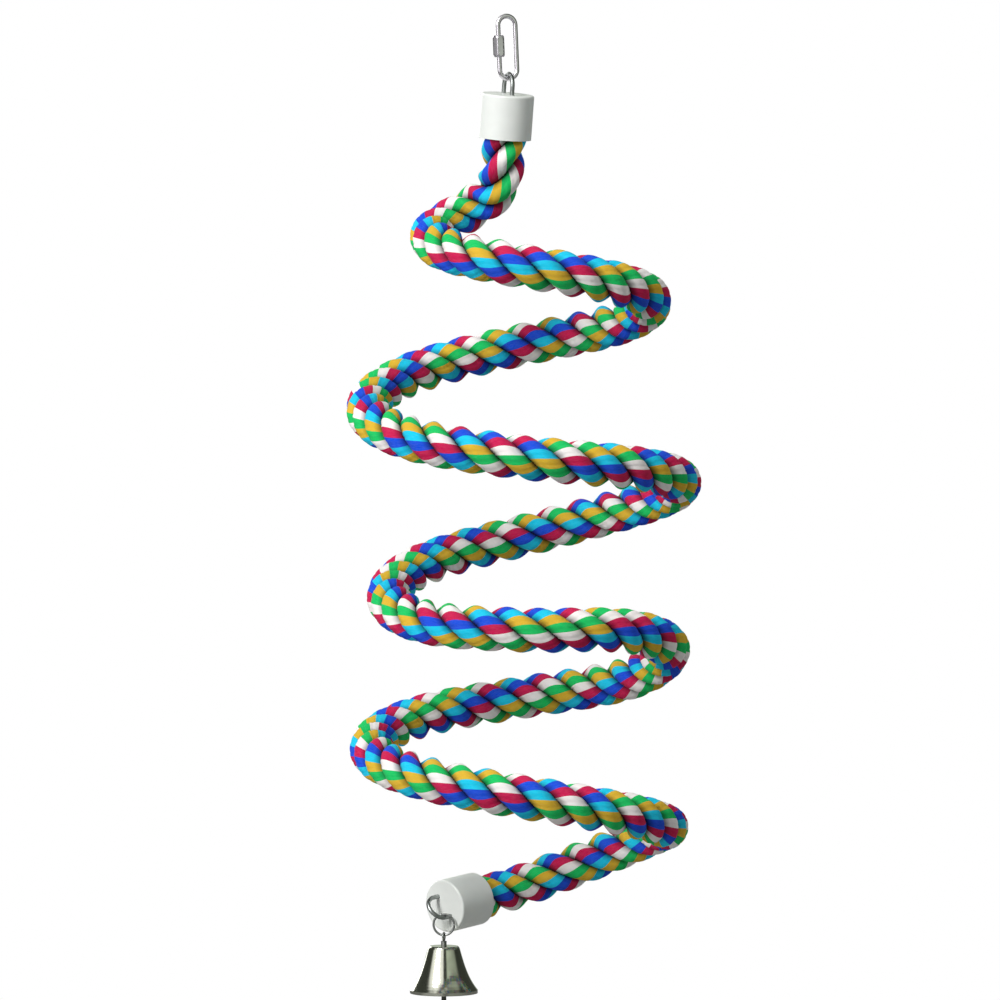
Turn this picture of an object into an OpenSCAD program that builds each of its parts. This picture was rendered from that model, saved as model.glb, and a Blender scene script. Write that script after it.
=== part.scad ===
// Hanging spiral perch for birds: a threaded link, a coil of thick cotton rope
// on a steel core wire, a cap on each end of it, and a bell under the lower cap.
// Millimetres, Z up. The origin is the inside of the top of the link, where the
// perch hangs from its hook.

/* [Quick link] */
// Length of the link over its wire
link_len = 38.4; // [34:0.2:50]
// Width of the link over its wire
link_w = 13.2; // [12.4:0.2:16]
// Thickness of the link's wire
link_wire = 2.8; // [2.4:0.1:3.2]
// Turn of the link and the upper eye about the upright
link_turn = 20; // [0:5:40]
// Lean of the link to its right
link_lean = 2.5; // [0:0.5:4]
// Length of the sleeve nut
nut_len = 12.2; // [11:0.2:13]
// Width of the nut across its flats
nut_flat = 6; // [5.2:0.2:6.4]
// Straight wire left free above the closed nut, its travel when it opens
nut_travel = 5.7; // [5:0.1:6]
// Length of the lower wire end inside the closed nut
nut_grip = 2; // [1:0.5:3]
// Pitch of the thread on the upper wire end
thread_pitch = 0.8; // [0.5:0.1:1.2]

/* [Wire eyes] */
// Thickness of the eyes' wire
eye_wire = 2.5; // [2:0.1:3]
// Distance between the two legs of an eye, middle to middle
eye_spread = 14; // [13:0.5:17]
// Straight part of each leg outside the cap
eye_rise = 4.5; // [3.5:0.5:7]
// Inner bend of the leg that turns into the crossbar
eye_bend = 1.3; // [1:0.1:2]

/* [End caps] */
// Length of a cap
cap_len = 25.4; // [22:0.2:32]
// Side wall of a cap
cap_wall = 2.2; // [1.5:0.1:3]
// Closed end of a cap
cap_end = 2.5; // [1.5:0.1:3.5]
// Rounded edge of a cap's closed end
cap_round = 1.2; // [0.5:0.1:1.5]
// Nod of the upper cap towards the front
cap_nod = 8; // [0:1:12]
// Lean of the upper cap to its right
cap_lean = 1.5; // [0:0.5:3]

/* [Rope] */
// Diameter of the rope
rope_d = 25.4; // [22:0.2:28]
// Gap between the rope and a cap's wall
rope_fit = 0.3; // [0.2:0.1:0.6]
// Thickness of the core wire
core_d = 3; // [2:0.2:3.4]
// Gap between the core wire and the strands
core_fit = 0.5; // [0.4:0.1:0.8]
// How much thinner the rope's cut end is bound
bind_squeeze = 0.8; // [0.4:0.1:1]
// Thickness of the tape bound round the cut end
bind_wall = 0.5; // [0.3:0.1:0.5]
// Length of the taped end
bind_len = 8; // [5:0.5:9]

/* [Coil] */
// Radius of the widest turn, at the middle of the rope
coil_r = 89; // [80:1:105]
// Drop from the coil's first side to its last
coil_h = 338; // [320:2:420]
// Depth of the coil's first side below the hang point
coil_top = 123; // [116:1:140]
// Coil's middle to the right of the hang point
coil_x = 9.4; // [4:0.2:14]
// Coil's middle behind the hang point
coil_y = 0.4; // [-4:0.2:8]
// Pull of the rope out of the upper cap before it bends away
lead_pull = 16; // [12:1:20]
// Radius of the bend that brings the rope round to the coil's first side
lead_r = 21; // [20:0.5:24]
// Drop of the rope through that bend
lead_drop = 15; // [12:0.5:18]
// How steeply the rope enters that bend
lead_dip = 30; // [20:1:36]
// Sweep of the rope out of the coil's last side
tail_sweep = 58; // [50:1:70]
// Pull of the rope into the lower cap
tail_pull = 44; // [36:1:54]

/* [Lower end] */
// Lower cap's mouth to the left of the coil's middle
end_left = 27.6; // [20:0.2:36]
// Lower cap's mouth behind the coil's middle
end_back = 45; // [38:0.5:52]
// Depth of the lower cap's mouth below the coil's last side
end_drop = 45; // [36:0.2:60]
// Heading of the lower cap, from the left towards the front
end_turn = 46; // [36:1:54]
// Dip of the lower cap's closed end
end_dip = 6; // [2:1:12]
// Roll of the lower eye about its cap
end_roll = -51; // [-60:1:-40]

/* [Jump ring] */
// Middle diameter of the jump ring
ring_d = 12.1; // [11:0.1:14]
// Thickness of the jump ring's wire
ring_wire = 1.3; // [1:0.1:1.6]
// Turn of the jump ring about the upright
ring_turn = -12; // [-20:1:0]
// Opening left where the ring's ends meet
ring_slit = 0.2; // [0.1:0.1:0.5]

/* [Bell] */
// Height of the bell
bell_h = 27; // [24:0.5:32]
// Outside radius of the bell's crown
crown_r = 8.8; // [8:0.1:10]
// Outside radius that the bell's straight side runs to
waist_r = 15.8; // [14:0.1:17]
// Outside radius of the bell's rim
rim_r = 19.5; // [18:0.5:22]
// Height of the upright lip
lip_h = 1.8; // [1:0.2:3]
// Wall of the bell
bell_wall = 0.9; // [0.6:0.1:1.2]
// Chamfer round the crown
crown_chamfer = 0.6; // [0.3:0.1:0.8]
// Thickness of the hanger's wire
hanger_wire = 1.2; // [1:0.1:1.4]
// Middle diameter of the hanger's upper eye
hanger_d = 4.4; // [4.2:0.1:5]
// Middle diameter of the hanger's lower eye
hook_d = 4; // [3.8:0.1:4.6]
// Collar between the upper eye and the crown
collar_h = 3.2; // [2:0.1:4]
// Radius of the collar
collar_r = 1.6; // [1.4:0.1:2]
// Radius of the washer under the crown
washer_r = 3; // [2.4:0.1:4]
// Thickness of that washer
washer_h = 0.8; // [0.5:0.1:1.2]

/* [Clapper] */
// Middle diameter of the clapper's eye
clapper_eye_d = 3.8; // [3.6:0.1:4.4]
// Thickness of the clapper's wire eye
clapper_wire = 1.1; // [0.9:0.1:1.3]
// Radius of the clapper's rod
clapper_rod_r = 1.4; // [1:0.1:1.6]
// Radius of the clapper's ball
clapper_ball_r = 3.2; // [2.6:0.1:3.6]
// Depth of the ball's middle below the bell's rim
clapper_reach = 7; // [5:0.5:9]

/* [Hidden] */

// Smoothness of round parts
$fn = 64;
// Gap between two linked wires
link_gap = 0.1;
// Gap of a snug fit
snug = 0.05;
// Gap between two things that only lie close
near_gap = 0.3;
// Overrun of a cut past the face that it opens
over = 1;

// The coil from its first side: how far it stands from the coil's middle at each
// quarter turn, as shares of coil_r, and how deep it is at each eighth, as shares of
// coil_h. The first value of each row only sets the slope at the start
reach_shares = [0.58, 0.58, 0.69, 0.81, 0.90, 0.99, 1, 1, 0.93,
    0.86, 0.89, 0.93, 0.95, 0.97, 0.94, 0.92];
depth_shares = [-0.04, 0, 0.03, 0.055, 0.08, 0.11, 0.15, 0.185, 0.23, 0.29,
    0.34, 0.37, 0.39, 0.42, 0.465, 0.515, 0.56, 0.61, 0.645, 0.655,
    0.66, 0.7, 0.76, 0.795, 0.825, 0.865, 0.9, 0.93, 0.965, 1];
quarter_turns = len(reach_shares) - 2;
// Rings of the rope's tube in each quarter turn, in each end sweep, and its sides
quarter_rings = 6;
lead_rings = 6;
tail_rings = 10;
rope_sides = 12;
core_sides = 8;

// Link
link_r = (link_w - link_wire) / 2;
link_straight = link_len - link_w;
link_upper_z = -(link_r - link_wire / 2);
nut_r = link_wire / 2 + link_gap;
nut_chamfer = (nut_flat / cos(30) - nut_flat) / 2;
thread_depth = thread_pitch / 4;
thread_count = floor(nut_len / 2 / thread_pitch);
upper_end = nut_len - snug;
lower_end = nut_travel + nut_len - nut_grip;

// Turns about the axes, and the way that each cap faces
function turn_x(v, a) = [v.x, v.y * cos(a) - v.z * sin(a), v.y * sin(a) + v.z * cos(a)];
function turn_y(v, a) = [v.x * cos(a) + v.z * sin(a), v.y, v.z * cos(a) - v.x * sin(a)];
function turn_z(v, a) = [v.x * cos(a) - v.y * sin(a), v.x * sin(a) + v.y * cos(a), v.z];
function top_way(v) = turn_z(turn_y(turn_x(v, cap_nod), cap_lean), link_turn);
function bottom_way(v) =
    turn_z(turn_y(turn_z(v, end_roll), 90 + end_dip), 180 + end_turn);
function unit(v) = v / norm(v);

// Places down the perch
link_lower = turn_z(turn_y([0, 0, -link_straight], -link_lean), link_turn)
    + [0, 0, link_upper_z];
swing_point = link_lower - [0, 0, link_r];
eye_r = eye_spread / 2;
eye_hang = eye_r - link_wire / 2 - eye_wire / 2 - link_gap;
top_axis = top_way([0, 0, 1]);
top_face = swing_point - [0, 0, eye_hang] - eye_rise * top_axis;
bottom_axis = bottom_way([0, 0, 1]);
bottom_mouth = [coil_x - end_left, coil_y + end_back, -coil_top - coil_h - end_drop];
bottom_face = bottom_mouth + cap_len * bottom_axis;

// Inside a cap, measured from its closed face
hook_r = (eye_wire + core_d) / 2 + 2 * link_gap;
bar_depth = cap_end + near_gap + core_d / 2 + hook_r;
hook_from = 210;
hook_to = -30;
hook_step = 30;
core_bend_depth = bar_depth + hook_r * (sin(-hook_to) + pow(cos(hook_to), 2) / sin(-hook_to));
rope_seat = core_bend_depth;
bore_r = rope_d / 2 + rope_fit;
cap_r = bore_r + cap_wall;
bound_r = rope_d / 2 - bind_squeeze;
pocket_r = hook_r + core_d / 2 + near_gap;
throat_r = core_d / 2 + core_fit + core_d / 2;
glue_end = rope_seat - near_gap;
throat_depth = bar_depth + hook_r + core_d / 4;
swell_len = rope_d / 2 - bind_len;

// Lowest point of the lower eye, where the ring hangs, and what hangs from it
eye_low = atan2(-bottom_axis.z, -bottom_way([0, 1, 0]).z);
ring_hang = bottom_face
    + bottom_way([0, eye_r * cos(eye_low), eye_rise + eye_r * sin(eye_low)]);
ring_r = ring_d / 2;
ring_middle = ring_hang - [0, 0, ring_r - ring_wire / 2 - eye_wire / 2 - link_gap];
bell_hang = ring_middle - [0, 0, ring_r];
hanger_r = hanger_d / 2;
hanger_z = (ring_wire + hanger_wire) / 2 + link_gap - hanger_r;
collar_z = hanger_z - hanger_r;
crown_z = collar_z - collar_h;
washer_z = crown_z - bell_wall - snug;
hook_z = washer_z - washer_h - snug - (hook_d + hanger_wire) / 2;
clapper_eye_z = hook_z - hook_d / 2 + (hanger_wire + clapper_wire) / 2 + link_gap
    - clapper_eye_d / 2;
ball_z = crown_z - bell_h - clapper_reach;
bell_steps = 16;
bell_flare = 3.6;

// Value of a row of shares at u, on a smooth curve through all of them
function through(a, b, c, d, t) = b + t * (c - a) / 2
    + t * t * (a - 5 * b / 2 + 2 * c - d / 2) + t * t * t * (3 * (b - c) + d - a) / 2;
function share_at(row, u) = let (last = len(row) - 1, i = min(floor(u), last - 2))
    through(row[i], row[i + 1], row[i + 2], row[min(i + 3, last)], u - i);

// A point of the coil u quarter turns from its first side, on its left: the rope
// runs on round the front, the right and the back, always downwards
function coil_point(u) = let (a = 90 * u, r = coil_r * share_at(reach_shares, u))
    [coil_x - r * cos(a), coil_y - r * sin(a),
        -coil_top - coil_h * share_at(depth_shares, 2 * u)];
function coil_way(u) = let (e = 1 / 100)
    unit(coil_point(min(u + e, quarter_turns)) - coil_point(max(u - e, 0)));
function curve(a, b, c, d, t) =
    pow(1 - t, 3) * a + 3 * t * pow(1 - t, 2) * b + 3 * t * t * (1 - t) * c + pow(t, 3) * d;

// The rope's middle line: out of the upper cap, round the coil, into the lower cap
function top_point(depth) = top_face - depth * top_axis;
function bottom_point(depth) = bottom_face - depth * bottom_axis;
coil_first = coil_point(0);
coil_last = coil_point(quarter_turns);
free_depth = rope_seat + rope_d;
bend_start = coil_first + [lead_r, lead_r, lead_drop];
bend_way = [-cos(lead_dip), 0, -sin(lead_dip)];
bend_pull = lead_r * tan(90 / 4) * 4 / 3;
lead_line = [for (i = [1:lead_rings - 1]) curve(top_point(free_depth),
    top_point(free_depth + lead_pull), bend_start - lead_pull * bend_way, bend_start,
    i / lead_rings)];
bend_line = [for (i = [0:lead_rings - 1]) curve(bend_start,
    bend_start + bend_pull * bend_way, coil_first - bend_pull * coil_way(0), coil_first,
    i / lead_rings)];
coil_line = [for (i = [0:quarter_turns * quarter_rings]) coil_point(i / quarter_rings)];
tail_line = [for (i = [1:tail_rings - 1]) curve(coil_last,
    coil_last + tail_sweep * coil_way(quarter_turns), bottom_point(free_depth + tail_pull),
    bottom_point(free_depth), i / tail_rings)];
middle_line = concat([top_point(free_depth)], lead_line, bend_line, coil_line, tail_line,
    [bottom_point(free_depth)]);
end_depths = [rope_seat, rope_seat + bind_len, rope_seat + bind_len + swell_len];
end_radii = [bound_r, bound_r, rope_d / 2];
rope_line = concat([for (d = end_depths) top_point(d)], middle_line,
    [for (i = [2:-1:0]) bottom_point(end_depths[i])]);
rope_radii = concat(end_radii, [for (p = middle_line) rope_d / 2],
    [for (i = [2:-1:0]) end_radii[i]]);

// The core wire's middle line, with a hook round each eye's crossbar
function hook_place(a) = [hook_r * cos(a), 0, hook_r * sin(a) - bar_depth];
hook_angles = [hook_from:-hook_step:hook_to];
core_line = concat([for (a = hook_angles) top_face + top_way(hook_place(a))],
    [top_point(core_bend_depth)], middle_line, [bottom_point(core_bend_depth)],
    [for (a = [hook_to:hook_step:hook_from]) bottom_face + bottom_way(hook_place(a))]);

// Frames carried along a line without twist, and the rings and faces of a tube
function ways(line) = let (last = len(line) - 1)
    [for (i = [0:last]) unit(line[min(i + 1, last)] - line[max(i - 1, 0)])];
function level_with(v, way) = unit(v - (v * way) * way);
function sides_of(way) = [for (i = 0, n = level_with([0, 1, 0], way[0]); i < len(way);
    i = i + 1, n = i < len(way) ? level_with(n, way[i]) : n) n];
function rings(line, radii, sides) = let (way = ways(line), side = sides_of(way))
    [for (i = [0:len(line) - 1], j = [0:sides - 1]) let (a = 360 * j / sides)
        line[i] + radii[i] * (cos(a) * side[i] + sin(a) * cross(side[i], way[i]))];
function skin(count, sides, from, out) = [for (i = [0:count - 2], j = [0:sides - 1])
    let (k = (j + 1) % sides, a = from + i * sides + j, b = from + i * sides + k,
        c = a + sides, d = b + sides)
    each out ? [[a, b, d], [a, d, c]] : [[a, d, b], [a, c, d]]];
function lid(sides, from, flip) = [for (j = [1:sides - 2])
    flip ? [from, from + j + 1, from + j] : [from, from + j, from + j + 1]];
function washer_faces(sides, a, b, flip) = [for (j = [0:sides - 1])
    let (k = (j + 1) % sides) each flip
        ? [[a + j, b + k, a + k], [a + j, b + j, b + k]]
        : [[a + j, a + k, b + k], [a + j, b + k, b + j]]];

// Least gap of the rope to itself, between rings gap_skip or more apart along it
gap_skip = 2 * quarter_rings;
coil_gap = min([for (i = [0:len(middle_line) - 1])
    for (j = [i + gap_skip:1:len(middle_line) - 1])
        norm(middle_line[i] - middle_line[j])]) - rope_d;
rope_length = rope_len(rope_line, len(rope_line) - 1);
function rope_len(line, i) = i == 0 ? 0 : norm(line[i] - line[i - 1]) + rope_len(line, i - 1);
echo(least_gap_of_the_coil_to_itself = coil_gap);
echo(rope_length = rope_length);

// A straight round bar along Z, its foot at z
module bar(r, z, length) {
    translate([0, 0, z]) cylinder(r = r, h = length);
}

// A round wire bent on an arc in the XZ plane, from one angle to another
module bent_wire(middle_r, wire_r, from, to) {
    rotate([90, 0, 0]) rotate([0, 0, from])
        rotate_extrude(angle = to - from) translate([middle_r, 0]) circle(r = wire_r);
}

// Places of the link, the caps and the bell
module on_link() {
    translate([0, 0, link_upper_z]) rotate([0, 0, link_turn]) rotate([0, -link_lean, 0])
        children();
}
module on_top_cap() {
    translate(top_face) rotate([cap_nod, cap_lean, link_turn]) children();
}
module on_bottom_cap() {
    translate(bottom_face) rotate([0, 90 + end_dip, 180 + end_turn])
        rotate([0, 0, end_roll]) children();
}
module on_ring() {
    translate(ring_middle) rotate([0, 0, ring_turn]) children();
}
module on_bell() {
    translate(bell_hang) rotate([0, 0, ring_turn]) children();
}

// The link's wire, open on its left, where the nut closes it
module quick_link() {
    color("silver") on_link() {
        difference() {
            union() {
                bent_wire(link_r, link_wire / 2, 0, 180);
                translate([link_r, 0, 0]) bar(link_wire / 2, -link_straight, link_straight);
                translate([-link_r, 0, 0]) bar(link_wire / 2, -upper_end, upper_end);
            }
            for (i = [1:thread_count])
                translate([-link_r, 0, i * thread_pitch - upper_end]) thread_groove();
        }
        translate([0, 0, -link_straight]) {
            bent_wire(link_r, link_wire / 2, 180, 360);
            translate([-link_r, 0, 0]) bar(link_wire / 2, 0, link_straight - lower_end);
        }
    }
}

// One V-shaped turn of the thread
module thread_groove() {
    rotate_extrude() polygon([[link_wire / 2 - thread_depth, 0],
        [link_wire / 2 + thread_depth, -thread_depth * 2],
        [link_wire / 2 + thread_depth, thread_depth * 2]]);
}

// The hexagonal sleeve nut, its corners chamfered at both ends
module link_nut() {
    color("gainsboro") on_link() translate([-link_r, 0, -nut_travel - nut_len])
        difference() {
            intersection() {
                cylinder(d = nut_flat / cos(30), h = nut_len, $fn = 6);
                nut_envelope();
            }
            bar(nut_r, -over, nut_len + 2 * over);
        }
}
module nut_envelope() {
    rotate_extrude() polygon([[0, 0], [nut_flat / 2 - nut_chamfer / 2, 0],
        [nut_flat / 2 + nut_chamfer, nut_chamfer * 3],
        [nut_flat / 2 + nut_chamfer, nut_len - nut_chamfer * 3],
        [nut_flat / 2 - nut_chamfer / 2, nut_len], [0, nut_len]]);
}

// An eye: a hoop outside the cap, and a crossbar inside it that the core hooks.
// extra is what its bed in the glue or its holes in the cap are wider by
module eye_shape(extra) {
    wire_r = eye_wire / 2 + extra;
    corner_r = eye_wire / 2 + eye_bend;
    translate([0, 0, eye_rise]) rotate([0, 0, 90]) bent_wire(eye_r, wire_r, 0, 180);
    translate([0, eye_r, 0]) bar(wire_r, -bar_depth, bar_depth + eye_rise);
    translate([0, -eye_r, 0]) bar(wire_r, corner_r - bar_depth, bar_depth - corner_r + eye_rise);
    translate([0, corner_r - eye_r, corner_r - bar_depth]) rotate([0, 0, 90])
        bent_wire(corner_r, wire_r, 180, 270);
    translate([0, corner_r - eye_r, -bar_depth]) rotate([-90, 0, 0])
        bar(wire_r, 0, 2 * (eye_r - snug + extra) - corner_r - eye_wire / 2);
}

// A cap: a round cup, its mouth downwards, with two holes for the eye's legs
module cap_shape() {
    difference() {
        rotate_extrude() cap_outline();
        for (side = [-1, 1]) translate([0, side * eye_r, 0])
            bar(eye_wire / 2 + snug, -cap_end - over, cap_end + 2 * over);
    }
}
module cap_outline() {
    difference() {
        union() {
            translate([0, -cap_len]) square([cap_r, cap_len - cap_round]);
            square_top = cap_r - cap_round;
            translate([0, -cap_round]) square([square_top, cap_round]);
            intersection() {
                translate([square_top, -cap_round]) circle(r = cap_round);
                translate([square_top, -cap_round]) square([cap_round, cap_round]);
            }
        }
        translate([0, -cap_len - over]) square([bore_r, cap_len + over - cap_end]);
    }
}

// The glue that fills a cap above the rope's cut end, set round the eye
module glue_shape() {
    difference() {
        bar(bore_r - snug, -glue_end, glue_end - cap_end);
        eye_shape(snug);
        bar(pocket_r, -throat_depth, throat_depth);
        bar(throat_r, -glue_end - over, glue_end);
    }
}

// The tape bound round the rope's cut end
module binding_shape() {
    inner = bound_r + near_gap;
    difference() {
        bar(inner + bind_wall, -rope_seat - bind_len, bind_len);
        bar(inner, -rope_seat - bind_len - over, bind_len + 2 * over);
    }
}

module top_eye() {
    color("darkgray") on_top_cap() eye_shape(0);
}
module top_cap() {
    color("white") on_top_cap() cap_shape();
}
module top_glue() {
    color("wheat") on_top_cap() glue_shape();
}
module top_binding() {
    color("ivory") on_top_cap() binding_shape();
}

// The rope: one hollow tube from cap to cap, with the core wire's way through it
module rope() {
    count = len(rope_line);
    inner = [for (r = rope_radii) core_d / 2 + core_fit];
    shift = count * rope_sides;
    color("royalblue") polyhedron(
        points = concat(rings(rope_line, rope_radii, rope_sides),
            rings(rope_line, inner, rope_sides)),
        faces = concat(skin(count, rope_sides, 0, true), skin(count, rope_sides, shift, false),
            washer_faces(rope_sides, 0, shift, true),
            washer_faces(rope_sides, shift - rope_sides, 2 * shift - rope_sides, false)));
}

// The core wire, one length from hook to hook
module core_wire() {
    count = len(core_line);
    radii = [for (p = core_line) core_d / 2];
    color("slategray") polyhedron(points = rings(core_line, radii, core_sides),
        faces = concat(skin(count, core_sides, 0, true), lid(core_sides, 0, true),
            lid(core_sides, (count - 1) * core_sides, false)));
}

module bottom_binding() {
    color("ivory") on_bottom_cap() binding_shape();
}
module bottom_glue() {
    color("wheat") on_bottom_cap() glue_shape();
}
module bottom_cap() {
    color("white") on_bottom_cap() cap_shape();
}
module bottom_eye() {
    color("darkgray") on_bottom_cap() eye_shape(0);
}

// The jump ring, its two ends almost meeting at its right
module jump_ring() {
    slit_angle = ring_slit / ring_r * 180 / PI;
    color("dimgray") on_ring() bent_wire(ring_r, ring_wire / 2, slit_angle, 360);
}

// Outside radius of the bell at a share of its height, from the crown down
function bell_r(t) = crown_r + (waist_r - crown_r) * t + (rim_r - waist_r) * pow(t, bell_flare);
module bell_outline(inset, from) {
    skirt = bell_h - lip_h;
    polygon(concat([[0, crown_z - from], [bell_r(from / skirt) - inset - crown_chamfer,
        crown_z - from]],
        [for (i = [0:bell_steps]) let (depth = from + (skirt - from) * i / bell_steps)
            [bell_r(depth / skirt) - inset, crown_z - depth - (i == 0 ? crown_chamfer : 0)]],
        [[rim_r - inset, crown_z - bell_h - from], [0, crown_z - bell_h - from]]));
}

// The bell, pierced at its crown for the hanger
module bell_shell() {
    color("lightsteelblue") on_bell() difference() {
        rotate_extrude() bell_outline(0, 0);
        rotate_extrude() bell_outline(bell_wall, bell_wall);
        bar(hanger_wire / 2 + snug, crown_z - bell_wall - over, bell_wall + 2 * over);
    }
}

// The hanger: an eye over the ring, a collar on the crown, and an eye inside
module bell_hanger() {
    color("gray") on_bell() {
        translate([0, 0, hanger_z]) rotate([0, 0, 90])
            bent_wire(hanger_r, hanger_wire / 2, 0, 360);
        bar(collar_r, crown_z + snug, collar_h - snug - hanger_wire / 4);
        bar(hanger_wire / 2, hook_z + hook_d / 2, crown_z - hook_z - hook_d / 2 + collar_h);
        translate([0, 0, hook_z]) rotate([0, 0, 90])
            bent_wire(hook_d / 2, hanger_wire / 2, 0, 360);
    }
}

// The washer that keeps the hanger from pulling through
module bell_washer() {
    color("silver") on_bell() difference() {
        bar(washer_r, washer_z - washer_h, washer_h);
        bar(hanger_wire / 2 + snug, washer_z - washer_h - over, washer_h + 2 * over);
    }
}

// The clapper: an eye, a rod and a ball that hangs below the rim
module clapper() {
    rod_top = clapper_eye_z - clapper_eye_d / 2;
    color("darkslategray") on_bell() {
        translate([0, 0, clapper_eye_z]) bent_wire(clapper_eye_d / 2, clapper_wire / 2, 0, 360);
        bar(clapper_rod_r, ball_z, rod_top - ball_z);
        translate([0, 0, ball_z]) sphere(r = clapper_ball_r);
    }
}

quick_link();
link_nut();
top_eye();
top_cap();
top_glue();
top_binding();
rope();
core_wire();
bottom_binding();
bottom_glue();
bottom_cap();
bottom_eye();
jump_ring();
bell_shell();
bell_hanger();
bell_washer();
clapper();
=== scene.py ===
"""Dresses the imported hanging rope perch: three laid cotton strands, metals, caps, studio.

Metres, Z up. The origin is the inside of the top of the link, where the perch hangs.
"""

import math

import bpy
from mathutils import Matrix, Vector


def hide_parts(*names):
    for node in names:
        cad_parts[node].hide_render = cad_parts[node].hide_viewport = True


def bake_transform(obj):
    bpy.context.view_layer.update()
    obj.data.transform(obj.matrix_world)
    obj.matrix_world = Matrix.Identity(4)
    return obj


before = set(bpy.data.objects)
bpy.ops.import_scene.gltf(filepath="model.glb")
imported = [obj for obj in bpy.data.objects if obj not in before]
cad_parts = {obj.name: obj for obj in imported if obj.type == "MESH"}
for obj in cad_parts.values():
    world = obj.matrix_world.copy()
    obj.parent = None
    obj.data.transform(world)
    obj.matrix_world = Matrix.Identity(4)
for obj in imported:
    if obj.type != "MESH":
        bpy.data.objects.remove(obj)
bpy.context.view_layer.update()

bl_info = {
    "name": "Rope perch looks",
    "version": (1, 0, 0),
    "blender": (4, 5, 0),
    "location": "3D View > Sidebar > Perch",
    "description": "Builds the laid rope, finishes and studio of the hanging rope perch",
    "category": "Object",
}

TURN = 2 * math.pi
WHITE, BLACK = (1, 1, 1), (0, 0, 0)


def shade(red, green, blue):
    """A screen colour from 0 to 255 as Blender's linear colour."""
    steps = [c / 255 for c in (red, green, blue)]
    return tuple(c / 12.92 if c <= 0.04045 else ((c + 0.055) / 1.055) ** 2.4 for c in steps)


def times(colour, factor):
    return tuple(c * factor for c in colour)


def number_property(name, description, default, **settings):
    return bpy.props.FloatProperty(
        name=name, description=description, default=default, **settings)


def length_property(name, description, default):
    return number_property(name, description, default, unit="LENGTH", precision=5)


def angle_property(name, description, degrees):
    return number_property(name, description, math.radians(degrees),
                           unit="ROTATION", subtype="ANGLE")


def share_property(name, description, default):
    return number_property(name, description, default, min=0, max=1, subtype="FACTOR")


def power_property(name, description, default):
    return number_property(name, description, default, unit="POWER")


def colour_property(name, description, colour):
    return bpy.props.FloatVectorProperty(
        name=name, description=description, default=colour, size=3, min=0, max=1,
        subtype="COLOR")


# Sizes and colours


class PerchRoute(bpy.types.PropertyGroup):
    """Where the rope runs from the upper cap to the lower one, as in the CAD model."""

    coil_radius: length_property(
        "Coil radius", "Widest turn, at the middle of the rope", 0.089)
    coil_height: length_property(
        "Coil height", "Drop from the coil's first side to its last", 0.338)
    coil_top: length_property("Coil top", "Depth of the coil's first side", 0.123)
    coil_right: length_property(
        "Coil right", "Coil's middle to the right of the hang point", 0.0094)
    coil_back: length_property("Coil back", "Coil's middle behind the hang point", 0.0004)
    lead_pull: length_property("Lead pull", "Pull of the rope out of the upper cap", 0.016)
    lead_radius: length_property(
        "Lead radius", "Bend that brings the rope to the coil", 0.021)
    lead_drop: length_property("Lead drop", "Drop of the rope through that bend", 0.015)
    lead_dip: angle_property("Lead dip", "How steeply the rope enters that bend", 30)
    tail_sweep: length_property("Tail sweep", "Sweep of the rope out of the coil", 0.058)
    tail_pull: length_property("Tail pull", "Pull of the rope into the lower cap", 0.044)


class PerchRope(bpy.types.PropertyGroup):
    """The laid rope: its strands, its yarns and their colours."""

    diameter: length_property("Diameter", "Thickness of the rope", 0.0254)
    lay: length_property(
        "Lay", "Length in which a strand goes once round the rope", 0.05345)
    strand_middle: length_property(
        "Strand middle", "Middle of a strand from the rope's", 0.0057)
    strand_half_width: length_property(
        "Strand half width", "Half of a strand's width", 0.0069)
    strand_gap: length_property("Strand gap", "Gap between two strands", 0.0001)
    yarn_twist: number_property(
        "Yarn twist", "Turns of the yarns round a strand in one lay", 2.47)
    yarn_draw: share_property(
        "Yarn draw", "How much closer the yarns lie on a strand's outside", 0.20)
    band_groove: length_property(
        "Band groove", "Depth of the groove between two bands", 0.00028)
    bands: bpy.props.IntProperty(
        name="Bands", description="Coloured bands round one strand", default=6)
    ring_step: length_property(
        "Ring step", "Distance between two rings of a strand's mesh", 0.0012)
    core_diameter: length_property("Core wire", "Thickness of the wire inside the rope", 0.003)
    gold: colour_property("Gold yarn", "Colour of the gold yarns", shade(226, 182, 46))
    green: colour_property("Green yarn", "Colour of the green yarns", shade(0, 198, 98))
    white: colour_property("White yarn", "Colour of the undyed yarns", shade(250, 243, 241))
    crimson: colour_property("Crimson yarn", "Colour of the crimson yarns", shade(204, 6, 78))
    blue: colour_property("Blue yarn", "Colour of the blue yarns", shade(4, 76, 220))
    cyan: colour_property("Cyan yarn", "Colour of the cyan yarns", shade(0, 204, 240))


class PerchMetals(bpy.types.PropertyGroup):
    """Colours of the metal pieces."""

    zinc: colour_property("Link", "Bright zinc of the link", (0.90, 0.86, 0.92))
    wire: colour_property("Eyes", "Drawn wire of the eyes", (0.34, 0.36, 0.35))
    dark_wire: colour_property("Ring", "Wire of the ring and hanger", (0.27, 0.28, 0.27))
    nickel: colour_property("Bell", "Polished nickel of the bell", (0.74, 0.75, 0.63))
    clapper: colour_property("Clapper", "Dark steel of the clapper", (0.10, 0.10, 0.09))


class PerchCaps(bpy.types.PropertyGroup):
    """Finishes of the caps and of what is inside them."""

    plastic: colour_property("Cap", "White plastic of the caps", shade(236, 238, 234))
    gloss: share_property("Cap roughness", "Roughness of the caps' plastic", 0.28)
    glue: colour_property("Glue", "Set glue inside the caps", shade(225, 205, 150))
    tape: colour_property("Tape", "Tape round the rope's ends", shade(232, 226, 210))


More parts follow.
